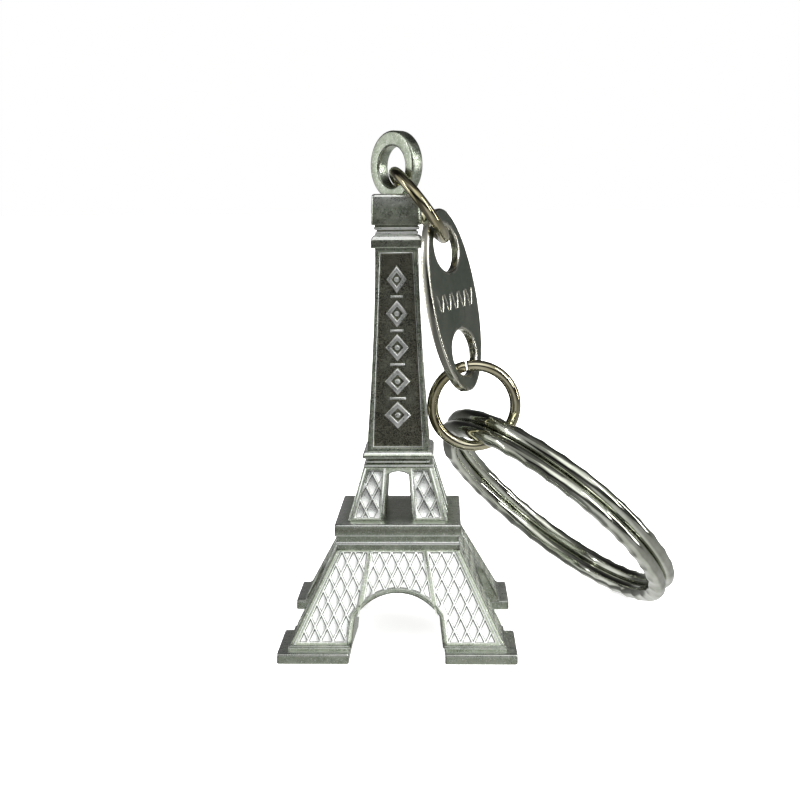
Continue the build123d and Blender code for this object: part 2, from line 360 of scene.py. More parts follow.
class Storey:
    """Hollow storey on four legs: four alike leaning faces with an arched opening in each.

    foot and top are (half width, height). The legs run down to below. neck is (half width, height) of
    what rises into the slab above. opening is (half width at its floor, half width and height where
    its head's arc springs, height of the crown, height of the floor). edge is the radius of the
    opening's edge, and draft is how much it narrows inwards, in degrees. bead holds the lines of the
    bead round the opening, (distance from the opening's edge, height).
    """

    def __init__(self, foot, top, below, neck, opening, edge, draft, bead):
        self.foot_half, self.foot_z = foot
        self.top_half, self.top_z = top
        self.below, self.neck, self.edge, self.bead = below, neck, edge, bead
        self.taper = math.tan(math.radians(draft))
        self.floor_w, self.spring_w, self.spring_z, self.crown_z, self.floor_z = opening
        self.lean = math.atan((self.foot_half - self.top_half) / (self.top_z - self.foot_z))
        self.cosine, self.sine = math.cos(self.lean), math.sin(self.lean)
        self.slope = (self.top_z - self.foot_z) / self.cosine
        rise = self.crown_z - self.spring_z
        self.radius = (self.spring_w ** 2 + rise ** 2) / (2 * rise)
        self.swing = math.asin(min(1, self.spring_w / self.radius))
        if self.spring_w > self.radius or rise > self.spring_w:
            self.swing = math.pi - self.swing
        self.levels = [self.slope * k / 14 for k in range(15)]
        self.tops = [-self.top_half + HIP + (2 * self.top_half - 2 * HIP) * k / 12 for k in range(13)]
        self.face = Shell()

    def opening_line(self, offset, low_z):
        """Points (x, z) of the opening's edge grown by offset, from right foot to left foot."""
        run = Vector((self.floor_w - self.spring_w, -(self.spring_z - self.floor_z))).normalized()
        out = Vector((-run.y, run.x))
        spring = Vector((self.spring_w, self.spring_z)) + out * offset
        side = []
        for k in range(5):
            z = low_z + (spring.y - low_z) * k / 5
            side.append((spring.x + run.x * (z - spring.y) / run.y, z))
        head = []
        for k in range(29):
            angle = self.swing * (1 - 2 * k / 28)
            head.append((
                (self.radius + offset) * math.sin(angle),
                self.crown_z - self.radius + (self.radius + offset) * math.cos(angle),
            ))
        return side + head + [(-x, z) for x, z in reversed(side)]

    def place(self, u, v, h):
        """From the leaning face (across, up the slope, out of it) to the tower."""
        return (
            u,
            -(self.foot_half - v * self.sine + h * self.cosine),
            self.foot_z + v * self.cosine + h * self.sine,
        )

    def on_face(self, offset):
        return [(x, (z - self.foot_z) / self.cosine) for x, z in self.opening_line(offset, self.foot_z)]

    def arch(self, offset):
        points = self.on_face(offset)
        return [(points[0][0], -3)] + points + [(points[-1][0], -3)]

    def bead_lines(self):
        return [(self.on_face(self.edge + offset), height, BEAD_PAINTED_HIGHLIGHT) for offset, height in self.bead]

    def bead_feet(self):
        return [points[0][0] for points, _, _ in self.bead_lines()]

    def pattern(self, panels, ribs):
        """The face itself, with a bead round the opening, lattice panels and ribs."""
        right = [(self.foot_half - v * self.sine - HIP, v) for v in self.levels]
        feet = [(u, 0) for u in self.bead_feet()]
        outline = (
            feet + right
            + [(u, self.slope) for u in reversed(self.tops[1:-1])]
            + [(-u, v) for u, v in reversed(right)]
            + [(-u, v) for u, v in reversed(feet)]
            + self.on_face(self.edge)[::-1]
        )
        border = self.edge + self.bead[-1][0] + BEAD_GAP
        loops = []
        for panel, use_arch, wide, high, shift in panels:
            arch = (lambda offset: self.arch(offset + border)) if use_arch else None
            loops += lattice(panel, arch, wide, high, shift)
        loops = [(tidy(p), h, t) for p, h, t in loops if len(tidy(p)) > 2]
        for (u0, v0), (u1, v1) in ribs:
            for half, height, tone in RIB:
                for side in (1, -1):
                    corners = ((u0 - half, v0), (u0 + half, v0), (u1 + half, v1), (u1 - half, v1))
                    loops.append(([(side * u, v) for u, v in corners], height, tone))
        relief(self.face, outline, loops, self.place, chains=self.bead_lines())

    def corners(self):
        halves = [(self.foot_half - v * self.sine, self.foot_z + v * self.cosine) for v in self.levels]
        for side in (1, -1):
            self.face.strip([mirrored(half_corner(half, z), side) for half, z in halves])

    def rise_into_slab(self):
        """Above the face: a narrower neck that ends inside the slab above."""
        neck_half, neck_z = self.neck
        rows = [corner_row(self.top_half, self.top_z, self.tops)]
        steps = ((neck_half + 0.05, self.top_z + 0.03), (neck_half, self.top_z + 0.09), (neck_half, neck_z))
        for half, z in steps:
            rows.append(corner_row(half, z, [u * (half - HIP) / (self.top_half - HIP) for u in self.tops]))
        self.face.strip(rows)

    def legs_below(self):
        """Below the face: the legs run down into the slab or plinth they stand on."""
        edge_high, edge_low = (self.opening_line(self.edge, z)[0][0] for z in (self.foot_z, self.below))
        bottom = [(u, -self.foot_half, self.foot_z) for u in [edge_high] + self.bead_feet()]
        bottom += half_corner(self.foot_half, self.foot_z)
        lower = [(edge_low if i == 0 else x, y, self.below) for i, (x, y, _) in enumerate(bottom)]
        for side in (1, -1):
            self.face.strip([mirrored(bottom, side), mirrored(lower, side)])

    def opening_surface(self):
        """From the opening's rounded edge inwards to the diagonals where the openings meet."""
        lines = []
        for offset in (self.edge, 0):
            low = self.opening_line(offset, self.below)
            lines.append([low[0]] + self.opening_line(offset, self.foot_z) + [low[-1]])
        rows = [[], [], [], []]
        for (gx, gz), (x, z) in zip(*lines):
            front = -(self.foot_half - max(0, z - self.foot_z) * math.tan(self.lean))
            grown_front = -(self.foot_half - max(0, gz - self.foot_z) * math.tan(self.lean))
            nx, nz = (gx - x) / self.edge, (gz - z) / self.edge
            start, corner = (gx, grown_front, gz), (x, front, z)
            inner = (x - nx * self.taper * self.edge, front + self.edge, z - nz * self.taper * self.edge)
            depth = (-front - abs(x)) / (1 - abs(nx) * self.taper)
            far_x = x - nx * self.taper * depth
            rows[0].append(start)
            rows[1].append(bezier(start, corner, inner, 0.5))
            rows[2].append(inner)
            rows[3].append((far_x, -abs(far_x), z - nz * self.taper * depth))
        # A faint painted highlight at the opening's edge, and painted shade inside the opening.
        self.face.strip(rows, tone=[0.2, -0.5, -0.3, 0.0])

    def build(self, panels, ribs):
        self.pattern(panels, ribs)
        self.corners()
        self.rise_into_slab()
        self.legs_below()
        self.opening_surface()
        return self.face


def lower_panels(storey):
    """A panel on each leg and one over the arch, with a pilaster between."""
    slope = storey.slope
    side_foot, side_top = (storey.foot_half - 0.85, 0.35), (storey.top_half - 0.6, slope)
    leg_foot, leg_top = (3.98, 2.64), (2.88, slope)
    middle_foot, middle_top = (3.55, 2.64), (2.45, slope)
    top = (0, 1, slope - 0.14)
    bottom = (0, -1, -0.33)
    right = [line(side_foot, side_top, 1), line(leg_foot, leg_top, -1), top, bottom]
    left = [(-a, b, c) for a, b, c in right]
    middle = [line(middle_foot, middle_top, 1), top, (0, -1, -2.6)]
    middle.append((-middle[0][0], middle[0][1], middle[0][2]))
    return (
        (right, True, 1.19, 2.52, (0.10, -1.02)),
        (left, True, 1.19, 2.52, (-0.17, -0.72)),
        (middle, True, 1.19, 2.52, (0.0, -1.0)),
    )


def upper_panels(storey):
    """A panel on each leg."""
    slope = storey.slope
    side_foot, side_top = (storey.foot_half - 0.5, 0), (storey.foot_half - 0.5 - slope * storey.sine, slope)
    right = [
        line(side_foot, side_top, 1),
        line((1.86, 0.3), (1.5, slope - 0.3), -1),
        (0, 1, slope - 0.28),
        (0, -1, -0.3),
    ]
    left = [(-a, b, c) for a, b, c in right]
    return ((right, False, 1.3, 2.5, (2.55, 1.0)), (left, False, 1.3, 2.5, (-2.55, 1.0)))


def lower_ribs(slope):
    return (((9.83, 0.12), (5.66, slope - 0.1)), ((3.765, 2.75), (2.68, slope - 0.1)))


def upper_ribs(slope):
    return (((4.6, 0.1), (3.2, slope - 0.08)), ((1.66, 0.1), (1.33, slope - 0.08)))


tower = Shell()
lower = Storey(
    foot=(10.25, 1.4), top=(6.04, 9.58), below=1.15, neck=(5.85, 11.05),
    opening=(4.50, 4.10, 3.75, 5.82, 0.0), edge=0.24, draft=2.5,
    bead=((0.02, 0.0), (0.06, 0.05), (0.12, 0.07), (0.18, 0.05), (0.22, 0.0)),
)
tower.turned(lower.build(lower_panels(lower), lower_ribs(lower.slope)))
upper = Storey(
    foot=(4.85, 12.22), top=(3.40, 17.26), below=12.0, neck=(3.2, 17.5),
    opening=(1.36, 1.06, 16.55, 16.86, 12.3), edge=0.09, draft=0.0,
    bead=((0.03, 0.0), (0.1, 0.0)),
)
tower.turned(upper.build(upper_panels(upper), upper_ribs(upper.slope)))

# Pads, plinths, slabs and mouldings, with painted highlights on their upper edges and ribs and painted shade
# in their grooves and under their lips.
for sx in (1, -1):
    for sy in (1, -1):
        block(tower, soften([
            (3.36, 0.0, 0.0), (3.425, 0.07, 0.0), (3.425, 0.5, -0.2), (3.425, 1.0, 0.7), (2.6, 1.0, 0.5),
        ], 0.16), 0.2, (sx * 7.975, sy * 7.975))
        block(tower, soften([
            (2.95, 0.9, -0.5), (2.95, 1.24, 0.8), (2.87, 1.28, -0.6), (2.93, 1.34, 0.8), (2.93, 1.43, 0.8),
            (2.4, 1.45, 0.3),
        ], 0.05), 0.12, (sx * 7.45, sy * 7.45))
block(tower, soften([
    (5.6, 9.98, -0.6), (5.92, 10.02, 0.2), (6.04, 10.12, 0.9), (6.04, 10.4, 1.0), (5.92, 10.5, 0.6),
    (5.6, 10.52, -0.6),
], 0.09), 0.12)
block(tower, soften([
    (5.5, 10.92, -0.4), (6.05, 10.92, 0.2), (6.18, 11.05, 0.7), (6.18, 11.25, 0.1), (6.18, 11.45, -0.5),
    (6.18, 11.7, -0.6), (6.18, 11.9, 0.0), (6.18, 12.08, 0.7), (6.05, 12.22, 0.8), (4.9, 12.22, 0.1),
    (4.0, 12.22, -0.6),
], 0.1), 0.2)
block(tower, soften([
    (2.6, 17.2, -0.5), (3.25, 17.24, 0.0), (3.25, 17.28, 0.5), (3.40, 17.34, 1.0), (3.40, 17.52, 1.0),
    (3.08, 17.6, -0.7), (3.02, 17.66, -0.7), (3.17, 17.72, 0.9), (3.17, 17.88, 0.9), (3.0, 17.94, -0.7),
    (2.98, 18.2, -0.8), (2.6, 18.3, -0.5),
], 0.05), 0.1)
block(tower, soften([
    (2.7, 18.16, -0.5), (3.42, 18.16, 0.3), (3.52, 18.24, 0.8), (3.52, 18.34, -0.6), (3.52, 18.48, 0.0),
    (3.38, 18.76, 1.0), (3.3, 18.85, 1.0), (2.6, 18.85, 1.0),
], 0.05), 0.14)


# ---- shaft ----------------------------------------------------------------------------------------
SHAFT = ((18.85, 3.09), (24.6, 2.68), (31.2, 2.30), (38.9, 2.10))


def shaft_half(z):
    """Smooth curve through the shaft's section half widths."""
    total = 0.0
    for zi, half in SHAFT:
        term = half
        for zj, _ in SHAFT:
            if zj != zi:
                term *= (z - zj) / (zi - zj)
        total += term
    return total


shaft = Shell()
SHAFT_LOW, SHAFT_HIGH = 18.7, 39.0  # both ends are hidden in the mouldings
shaft_levels = [SHAFT_LOW + (SHAFT_HIGH - SHAFT_LOW) * k / 28 for k in range(29)]


def shaft_place(u, v, h):
    return (u, -(shaft_half(v) + h), v)


def recess_loop(inset):
    foot, top = (2.58 - inset, 19.15 + inset), (1.72 - inset, 38.4 - inset)
    rows = [foot[1] + (top[1] - foot[1]) * k / 24 for k in range(25)]
    right = [(foot[0] + (top[0] - foot[0]) * (z - foot[1]) / (top[1] - foot[1]), z) for z in rows]
    return right + [(-u, z) for u, z in reversed(right)]


def rhombus_loop(centre, wide, high, grow=0.0):
    k = math.hypot(wide, high)
    w, h = wide + grow * k / high, high + grow * k / wide
    return [(w, centre), (0, centre + h), (-w, centre), (0, centre - h)]


def bar_loop(centre, wide, high, grow=0.0):
    w, h = wide + grow, high + grow
    return [(w, centre - h), (w, centre + h), (-w, centre + h), (-w, centre - h)]


def circle_loop(centre, radius, count=14):
    return [
        (radius * math.cos(2 * math.pi * k / count), centre + radius * math.sin(2 * math.pi * k / count))
        for k in range(count)
    ]


# The recess has a groove and a thin rib round it: (inset, height, painted light). The rib gets a painted
# highlight, and the groove and the recess floor get painted shade.
RECESS_EDGE = (
    (-0.04, 0.0, 0.0), (-0.01, -0.02, 0.0), (0.02, -0.07, -0.7), (0.05, -0.08, -0.7), (0.08, -0.03, 0.8),
    (0.12, -0.01, 1.0), (0.16, -0.03, 0.8), (0.2, -0.13, -0.5), (0.23, -0.2, -0.9), (0.27, -0.22, -1.0),
    (0.31, -0.22, -1.0),
)
# Sides of an ornament, from the recess's floor to its top: (growth, height, painted light), with painted
# shade at its foot and a painted highlight on its top.
RISE = ((0.09, -0.22, -1.0), (0.05, -0.2, -0.7), (0.02, -0.1, 0.6), (-0.02, -0.045, 1.0), (-0.07, -0.03, 1.0))
ORNAMENTS, ORNAMENT_FOOT, ORNAMENT_PITCH = 5, 22.4, 3.32
LOZENGE_WIDE, LOZENGE_HIGH = 1.28, 1.3  # half sizes of the lowest lozenge
LOZENGE_SHRINK = 0.06                   # each is narrower than the one below it
LOZENGE_OPEN = 0.56                     # size of the opening against the lozenge
BOSS_RADIUS = 0.24
BAR_WIDE, BAR_SHRINK, BAR_HIGH = 0.8, 0.05, 0.11
shaft_loops = [(recess_loop(inset), height, tone) for inset, height, tone in RECESS_EDGE]
for row in range(ORNAMENTS):
    z = ORNAMENT_FOOT + ORNAMENT_PITCH * row
    wide, high = LOZENGE_WIDE * (1 - LOZENGE_SHRINK * row), LOZENGE_HIGH
    for grow, height, tone in RISE:
        shaft_loops.append((rhombus_loop(z, wide, high, grow), height, tone))
        shaft_loops.append((rhombus_loop(z, wide * LOZENGE_OPEN, high * LOZENGE_OPEN, -grow), height, tone))
    for grow, height, tone in RISE[1:]:
        shaft_loops.append((circle_loop(z, BOSS_RADIUS + grow), height, tone))
    if row:
        bar_z, bar_wide = z - ORNAMENT_PITCH / 2, BAR_WIDE - BAR_SHRINK * row
        for grow, height, tone in RISE[1:]:
            shaft_loops.append((bar_loop(bar_z, bar_wide, BAR_HIGH, grow), height, tone))
sides = [(shaft_half(z) - HIP, z) for z in shaft_levels]
relief(shaft, sides + [(-u, z) for u, z in reversed(sides)], shaft_loops, shaft_place)
for side in (1, -1):
    shaft.strip([mirrored(half_corner(shaft_half(z), z), side) for z in shaft_levels])
tower.turned(shaft)

# ---- head and eye ---------------------------------------------------------------------------------
# The head's mouldings get painted highlights on their upper edges and painted shade under their lips; the cap
# is painted darker at its foot and lighter towards its top.
block(tower, soften([
    (1.9, 38.72, -0.5), (2.42, 38.72, 0.0), (2.49, 38.8, 0.3), (2.49, 39.0, -0.5), (2.49, 39.4, -0.6),
    (2.49, 39.56, 0.7), (2.32, 39.88, 1.0), (2.2, 39.99, 1.0), (1.9, 39.99, 0.5),
], 0.06), 0.14)
block(tower, soften([
    (1.9, 39.9, 0.0), (1.98, 40.02, 0.5), (2.08, 40.06, 1.0), (2.08, 40.3, 1.0), (1.92, 40.36, -0.7),
    (1.92, 40.46, -0.7),
    (2.22, 40.52, 0.9), (2.22, 40.72, 1.0), (2.1, 40.8, -0.3), (2.1, 40.97, -0.8),
], 0.05), 0.1)
cap_profile = [
    (2.0, 40.94, -0.8), (2.38, 40.94, -0.6), (2.45, 41.02, -0.5), (2.42, 41.7, -0.45), (2.38, 42.6, 0.2),
    (2.35, 43.3, 0.5), (2.33, 43.94, 0.9), (1.2, 43.94, 0.8),
]
block(tower, soften(cap_profile[:3], 0.06)[:-1] + soften(cap_profile[2:], 0.42), 0.3)

EYE_CENTRE = Vector((0, 0, 46.74))
EYE_ACROSS = Vector((1, -1, 0)).normalized()
EYE_FACE = Vector((-1, -1, 0)).normalized()
EYE_WALL, EYE_THICK, EYE_CORNER = 1.2, 1.4, 0.22
EYE_OUTER, EYE_INNER = (3.1, 3.28), (1.9, 2.02)  # half widths and half heights
EYE_HOLE_DROP = 0.2                              # the hole sits below the middle
EYE_STEPS = 96

eye_rows = []
for k in range(EYE_STEPS):
    angle = 2 * math.pi * k / EYE_STEPS
    outer = Vector((EYE_OUTER[0] * math.cos(angle), EYE_OUTER[1] * math.sin(angle)))
    inner = Vector((EYE_INNER[0] * math.cos(angle), EYE_INNER[1] * math.sin(angle) - EYE_HOLE_DROP))
    row = []
    for across_wall, depth in rounded_rectangle(EYE_WALL, EYE_THICK, EYE_CORNER):
        p = inner + (outer - inner) * (0.5 + across_wall / EYE_WALL)
        row.append(EYE_CENTRE + EYE_ACROSS * p.x + Vector((0, 0, p.y)) + EYE_FACE * depth)
    eye_rows.append(row)
eye_rows.append(eye_rows[0])
tower.strip(eye_rows, closed=True)

tower_object = make_object("tower_casting_detail", tower)


# ---- jump rings -----------------------------------------------------------------------------------
def plane_axes(normal, direction):
    n = Vector(normal).normalized()
    x = Vector(direction)
    x = (x - n * x.dot(n)).normalized()
    return x, n.cross(x), n


def jump_ring(name, radius, centre, normal, gap_dir):
    """Round wire bent into a ring, with its cut ends almost touching."""
    wire, gap = 0.55, 0.12  # radius of the wire, distance between its ends
    x, y, n = plane_axes(normal, gap_dir)
    centre = Vector(centre)
    sweep = 2 * math.pi - gap / radius
    shell, rows, count = Shell(), [], 132
    stations = [0.0, 0.006, 0.02] + [0.02 + (sweep - 0.04) * k / count for k in range(1, count)]
    stations += [sweep - 0.02, sweep - 0.006, sweep]
    for s in stations:
        end = min(s, sweep - s)
        thin = 0.82 if end < 0.001 else 0.95 if end < 0.01 else 1.0
        out = x * math.cos(s) + y * math.sin(s)
        row = []
        for k in range(24):
            a = 2 * math.pi * k / 24
            row.append(centre + out * (radius + wire * thin * math.cos(a)) + n * (wire * thin * math.sin(a)))
        rows.append(row)
    shell.strip(rows, closed=True)
    shell.cap(rows[0], flip=True, tone=1.0)
    shell.cap(rows[-1], tone=1.0)
    return make_object(name, shell, merge=0.00001)


upper_ring = jump_ring(
    "upper_jump_ring_wire", 3.98, (2.213, -0.641, 42.809), (0.793, 0.111, 0.599), (0.19, 0.98, 0)
)
lower_ring = jump_ring(
    "lower_jump_ring_wire", 4.15, (7.563, -0.338, 22.920), (0.030, -0.996, -0.083), (-0.2, 0, 1)
)

# ---- tag ------------------------------------------------------------------------------------------
TAG_CENTRE = Vector((5.386, -0.838, 33.493))
TAG_HALF_WIDE, TAG_HALF_LONG, TAG_HALF_THICK = 4.53, 9.1, 0.45
TAG_HOLES = (5.2, -5.2)                 # along the tag
TAG_HOLE_RADIUS = 2.32
tag_x, tag_y, tag_n = plane_axes((0.858, -0.488, 0.157), (0.484, 0.872, 0.066))
# Half of the rounded rim: (inset, distance from the middle of the plate).
TAG_RIM = ((0.0, 0.24), (0.012, 0.32), (0.05, 0.39), (0.11, 0.432), (0.2, TAG_HALF_THICK))
TAG_RIM_INSET = TAG_RIM[-1][0]


def tag_place(u, v, h):
    return tuple(TAG_CENTRE + tag_x * u + tag_y * v + tag_n * h)


def tag_outline(inset, count=120):
    turns = [2 * math.pi * k / count for k in range(count)]
    return [
        ((TAG_HALF_WIDE - inset) * math.cos(a), (TAG_HALF_LONG - inset) * math.sin(a)) for a in turns
    ]


def tag_hole(v, radius, count=48):
    return [
        (radius * math.cos(2 * math.pi * k / count), v + radius * math.sin(2 * math.pi * k / count))
        for k in range(count)
    ]


tag = Shell()
stamps = []
DASHES, FIRST_DASH, DASH_PITCH = 10, -3.3, 0.73
DASH_LEAN, DASH_WIDE, DASH_HIGH = 0.22, 0.11, 0.8  # half sizes
for k in range(DASHES):
    lean = DASH_LEAN if k % 2 else -DASH_LEAN
    u = FIRST_DASH + DASH_PITCH * k
    for grow, height, tone in ((0.05, 0.0, 0.0), (0.02, -0.02, 0.6), (-0.03, -0.07, 1.0)):
        w, h = DASH_WIDE + grow, DASH_HIGH + grow
        dash = [(u - lean + w, -h), (u + lean + w, h), (u + lean - w, h), (u - lean - w, -h)]
        stamps.append((dash, height, tone))
for side in (1, -1):
    hole_edge = TAG_HOLE_RADIUS + TAG_RIM_INSET
    loops = [(tag_hole(v, hole_edge), 0.0, 0.0) for v in TAG_HOLES]
    loops += [(tag_outline(0.45), 0.0, 0.0)]
    loops += [(tag_hole(v, hole_edge + 0.18), 0.0, 0.0) for v in TAG_HOLES]
    relief(
        tag, tag_outline(TAG_RIM_INSET), loops + (stamps if side == 1 else []),
        lambda u, v, h: tag_place(u, v, side * (TAG_HALF_THICK + h)),
        holes=[((0, v), hole_edge - 0.02) for v in TAG_HOLES],
    )
profile = [(i, w) for i, w in reversed(TAG_RIM)] + [(i, -w) for i, w in TAG_RIM]
rims = [[tag_outline(inset) for inset, _ in profile]]
rims += [[tag_hole(v, TAG_HOLE_RADIUS + inset) for inset, _ in profile] for v in TAG_HOLES]
for rim in rims:
    rows = [[tag_place(u, v, w) for u, v in points] for points, (_, w) in zip(rim, profile)]
    tag.strip(rows, closed=True, tone=1.0)
tag_object = make_object("tag_plate_stamped", tag)

# ---- split ring -----------------------------------------------------------------------------------
split = Shell()
SPLIT_CENTRE = Vector((16.030, 5.300, 11.170))
split_x, split_y, split_n = plane_axes((0.6141, 0.3560, 0.7048), (-0.781, 0.400, 0.479))


SPLIT_RADIUS = 13.6       # to the centre of the wire
SPLIT_WIDE, SPLIT_THICK, SPLIT_CORNER = 1.86, 1.5, 0.70
SPLIT_PITCH = 1.54        # between the two turns
STEP_HALF = 12            # degrees on each side of the place where the wire changes turns
TAPER = 1.2               # degrees over which a wire end gets thinner
WAVES = 17
STATIONS = 680

first, last = STEP_HALF, 720 - STEP_HALF
section = rounded_rectangle(SPLIT_WIDE, SPLIT_THICK, SPLIT_CORNER, pieces=6)
split_rows = []
for k in range(STATIONS + 1):
    angle = first + (last - first) * k / STATIONS
    share = min(max((angle - 360 + STEP_HALF) / (2 * STEP_HALF), 0), 1)
    rise = share * share * (3 - 2 * share)
    turned = math.radians(angle)
    end = min(angle - first, last - angle)
    thin = 1 - 0.22 * max(0, 1 - end / TAPER) ** 2
    # The waves are pressed into the outer side of each turn.
    scallop = abs(math.sin(WAVES * turned + 0.5 * math.sin(3 * turned) + 0.9)) ** 0.8
    hollow = 0.13 * scallop * (0.75 + 0.25 * math.sin(5 * turned + 1))
    outward = 2 * rise - 1
    radial = split_x * math.cos(turned) + split_y * math.sin(turned)
    row = []
    for a, b in section:
        weight = max(0.0, b / (SPLIT_THICK / 2) * outward)
        b = b * (1 - hollow / (SPLIT_THICK / 2) * min(1, weight * 1.3))
        ripple = 0.025 * math.sin(WAVES * turned + 2.0) * max(0, a) / (SPLIT_WIDE / 2)
        row.append(
            SPLIT_CENTRE + radial * (SPLIT_RADIUS + (a - abs(ripple)) * thin)
            + split_n * (b * thin + SPLIT_PITCH * (rise - 0.5))
        )
    split_rows.append(row)
split.strip(split_rows, closed=True)
split.cap(split_rows[0], flip=True)
split.cap(split_rows[-1])
split_object = make_object("split_ring_wire_waved", split, merge=0.00001)


# ---- materials ------------------------------------------------------------------------------------
class Nodes:
    """Short way to build a node tree."""

    def __init__(self, tree):
        self.tree = tree

    def new(self, kind, **values):
        node = self.tree.nodes.new(kind)
        for key, value in values.items():
            setattr(node, key, value)
        return node

    def link(self, a, b):
        self.tree.links.new(a, b)

    def ramp(self, value, stops):
        """Maps a value through (position, grey) stops."""
        ramp = self.new("ShaderNodeValToRGB")
        elements = ramp.color_ramp.elements
        while len(elements) < len(stops):
            elements.new(0.5)
        for element, (position, grey) in zip(elements, stops):
            element.position = position
            element.color = (grey, grey, grey, 1)
        self.link(value, ramp.inputs["Fac"])
        return ramp.outputs["Color"]

    def remap(self, value, low, high, to_low, to_high):
        node = self.new("ShaderNodeMapRange")
        for socket, number in zip(("From Min", "From Max", "To Min", "To Max"), (low, high, to_low, to_high)):
            node.inputs[socket].default_value = number
        self.link(value, node.inputs["Value"])
        return node.outputs["Result"]

    def math(self, kind, a, b):
        node = self.new("ShaderNodeMath", operation=kind)
        for socket, value in zip(node.inputs, (a, b)):
            if isinstance(value, (int, float)):
                socket.default_value = value
            else:
                self.link(value, socket)
        return node.outputs[0]

    def mix(self, factor, a, b, blend="MIX"):
        node = self.new("ShaderNodeMix", data_type="RGBA", blend_type=blend)
        for socket, value in ((node.inputs[0], factor), (node.inputs[6], a), (node.inputs[7], b)):
            if isinstance(value, (int, float)):
                socket.default_value = value
            elif isinstance(value, tuple):
                socket.default_value = (*value, 1)
            else:
                self.link(value, socket)
        return node.outputs[2]


class Surface(Nodes):
    """Node tree of a new material."""

    def __init__(self, name):
        self.material = bpy.data.materials.new(name)
        self.material.use_nodes = True
        super().__init__(self.material.node_tree)
        self.shader = self.tree.nodes["Principled BSDF"]
        self.place = self.new("ShaderNodeTexCoord").outputs["Object"]

    def attribute(self, name):
        return self.new("ShaderNodeAttribute", attribute_name=name).outputs["Fac"]

    def noise(self, scale, detail=3.0, rough=0.5):
        noise = self.new("ShaderNodeTexNoise")
        noise.inputs["Scale"].default_value = scale
        noise.inputs["Detail"].default_value = detail
        noise.inputs["Roughness"].default_value = rough
        self.link(self.place, noise.inputs["Vector"])
        return noise.outputs["Fac"]

    def bump(self, height, distance, strength, before=None):
        bump = self.new("ShaderNodeBump")
        bump.inputs["Strength"].default_value = strength
        bump.inputs["Distance"].default_value = distance * MM
        self.link(height, bump.inputs["Height"])
        if before:
            self.link(before, bump.inputs["Normal"])
        return bump.outputs["Normal"]

    def finish(self, colour, roughness, normal):
        self.shader.inputs["Metallic"].default_value = 1.0
        self.link(colour, self.shader.inputs["Base Color"])
        self.link(roughness, self.shader.inputs["Roughness"])
        self.link(normal, self.shader.inputs["Normal"])
        return self.material


def casting_material():
    """Plated die casting with fine grain. A per-point value paints highlights in near white on crests, rims,
    upper edges and lattice pocket floors, and paints shade in dark grey on pocket walls, grooves, undercuts
    and the shaft recesses.
    """
    n = Surface("plated casting")
    tone = n.attribute("tone")
    grain = n.noise(9000, 3, 0.6)
    patch = n.noise(1100, 4, 0.6)
    cloud = n.noise(160, 2, 0.5)
    raised = n.mix(n.ramp(patch, [(0.35, 0), (0.65, 1)]), (0.28, 0.32, 0.24), (0.52, 0.57, 0.46))
    raised = n.mix(n.ramp(cloud, [(0.4, 0), (0.6, 0.5)]), raised, (0.40, 0.44, 0.35))
    fleck = n.noise(6500, 2, 0.7)
    raised = n.mix(n.ramp(fleck, [(0.56, 0), (0.68, 0.7)]), raised, (0.95, 0.96, 0.92))
    # Near white for the painted highlights, and dark grey for the painted shade.
    bright = n.mix(n.ramp(patch, [(0.4, 0), (0.6, 1)]), (0.90, 0.93, 0.90), (0.98, 0.99, 0.97))
    dark = n.mix(n.ramp(grain, [(0.4, 0), (0.62, 1)]), (0.10, 0.10, 0.075), (0.32, 0.32, 0.25))
    # Painted highlight where the per-point value is high, painted shade where it is low.
    colour = n.mix(n.remap(tone, 0.1, 1.0, 0, 1), raised, bright)
    colour = n.mix(n.remap(tone, -0.1, -1.0, 0, 1), colour, dark)
    rough = n.remap(grain, 0.3, 0.7, 0.2, 0.38)
    rough = n.math("ADD", rough, n.remap(patch, 0.4, 0.65, 0.0, 0.08))
    normal = n.bump(grain, 0.012, 0.5)
    normal = n.bump(patch, 0.03, 0.35, normal)
    return n.finish(colour, rough, normal)


def wire_material(name, low, high, roughness):
    """Nickel-plated wire: a mirror with faint patchy colour, fine grain and a warm cast."""
    n = Surface(name)
    patch = n.noise(350, 3, 0.5)
    fine = n.noise(2600, 2, 0.5)
    colour = n.mix(n.ramp(patch, [(0.35, 0), (0.65, 1)]), low, high)
    rough = n.remap(fine, 0.35, 0.7, roughness * 0.7, roughness * 1.5)
    normal = n.bump(patch, 0.02, 0.18)
    normal = n.bump(fine, 0.004, 0.25, normal)
    return n.finish(colour, rough, normal)


def tag_material():
    """Satin stamped plate with a polished sheared rim."""
    n = Surface("satin plate")
    tone = n.attribute("tone")
    grain = n.noise(3800, 3, 0.6)
    patch = n.noise(260, 3, 0.5)
    face = n.mix(n.ramp(patch, [(0.35, 0), (0.65, 1)]), (0.165, 0.19, 0.155), (0.23, 0.25, 0.21))
    colour = n.mix(tone, face, (0.66, 0.65, 0.56))
    rough = n.mix(tone, n.remap(grain, 0.3, 0.7, 0.3, 0.46), (0.14, 0.14, 0.14))
    normal = n.bump(grain, 0.012, 0.4)
    normal = n.bump(patch, 0.03, 0.15, normal)
    return n.finish(colour, rough, normal)


casting = casting_material()
ring_wire = wire_material("ring wire", (0.34, 0.31, 0.19), (0.58, 0.55, 0.41), 0.08)
split_wire = wire_material("split ring wire", (0.46, 0.48, 0.40), (0.70, 0.72, 0.64), 0.08)
satin = tag_material()

for piece, material, slot, body, node in (
    (tower_object, casting, "plated_casting", "tower", "tower_casting"),
    (upper_ring, ring_wire, "ring_wire", "upper_ring", "upper_jump_ring"),
    (tag_object, satin, "tag_metal", "tag_plate", "tag"),
    (lower_ring, ring_wire, "ring_wire", "lower_ring", "lower_jump_ring"),
    (split_object, split_wire, "split_ring_wire", "key_ring", "split_ring"),
):
    piece.data.materials.append(material)
    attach(piece, body)
    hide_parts(node)

